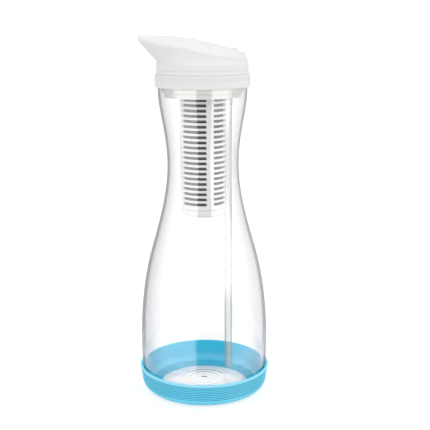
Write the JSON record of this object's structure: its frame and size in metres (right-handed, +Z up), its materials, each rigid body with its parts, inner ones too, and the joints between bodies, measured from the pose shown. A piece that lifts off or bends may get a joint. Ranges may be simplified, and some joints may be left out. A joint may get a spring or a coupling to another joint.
{
  "type": "water filter carafe",
  "caption": "Hourglass glass carafe in a ribbed silicone boot, with a plug-in beak lid, hinged pouring cover, vent tube and hanging screw-in filter cartridge.",
  "frame": {"origin": "on the bottle's axis, in the plane that the boot stands on", "axes": "+Z up along the bottle's axis, -X towards the beak of the lid, +X towards the hinge and the vent tube"},
  "size_m": [0.1101, 0.1096, 0.2977],
  "materials": {
    "clear_glass": "clear polished glass",
    "blue_silicone": "satin moulded silicone",
    "frosted_silicone": "frosted moulded silicone",
    "white_plastic": "fine gloss moulding",
    "frosted_plastic": "frosted translucent tube",
    "clear_seal": "translucent silicone ring",
    "steel": "ground steel pin",
    "black_mesh": "fine woven mesh",
    "black_carbon": "granular carbon",
    "clay_mineral": "granular ceramic",
    "white_felt": "needled felt"
  },
  "bodies": {
    "bottle": {"bottle": "clear_glass"},
    "boot": {"base_boot": "blue_silicone"},
    "lid": {"mouth_stopper": "frosted_silicone", "lid_base": "white_plastic", "vent_tube": "frosted_plastic", "spout_body": "white_plastic", "spout_seal": "clear_seal", "hinge_pin": "steel"},
    "cover": {"flip_cover": "white_plastic"},
    "cartridge_ring": {"cartridge_seal": "clear_seal"},
    "cartridge": {"cartridge_cap": "white_plastic", "cartridge_housing": "white_plastic", "cartridge_foot": "white_plastic", "mesh_sleeve": "black_mesh", "lower_felt_pad": "white_felt", "mineral_bed": "clay_mineral", "media_divider": "white_plastic", "carbon_bed": "black_carbon", "upper_felt_pad": "white_felt", "outlet_screen": "white_plastic"}
  },
  "joints": [
    {"name": "boot_pull", "type": "slide", "parent": "bottle", "child": "boot", "axis": [0, 0, -1], "range_m": [0, 0.03]},
    {"name": "lid_lift", "type": "slide", "parent": "bottle", "child": "lid", "axis": [0, 0, 1], "range_m": [0, 0.28]},
    {"name": "cover_flip", "type": "hinge", "parent": "lid", "child": "cover", "pos_m": [0.0328, 0, 0.2812], "axis": [0, 1, 0], "range_deg": [0, 105]},
    {"name": "cartridge_drop", "type": "slide", "parent": "lid", "child": "cartridge_ring", "axis": [0, 0, -1], "range_m": [0, 0.01001]},
    {"name": "cartridge_turn", "type": "hinge", "parent": "cartridge_ring", "child": "cartridge", "pos_m": [0, 0, 0.2569], "axis": [0, 0, -1], "range_deg": [0, 900]}
  ],
  "couplings": [
    {"joint": "cartridge_drop", "follows": "cartridge_turn", "m_per_rad": 0.00063662}
  ]
}
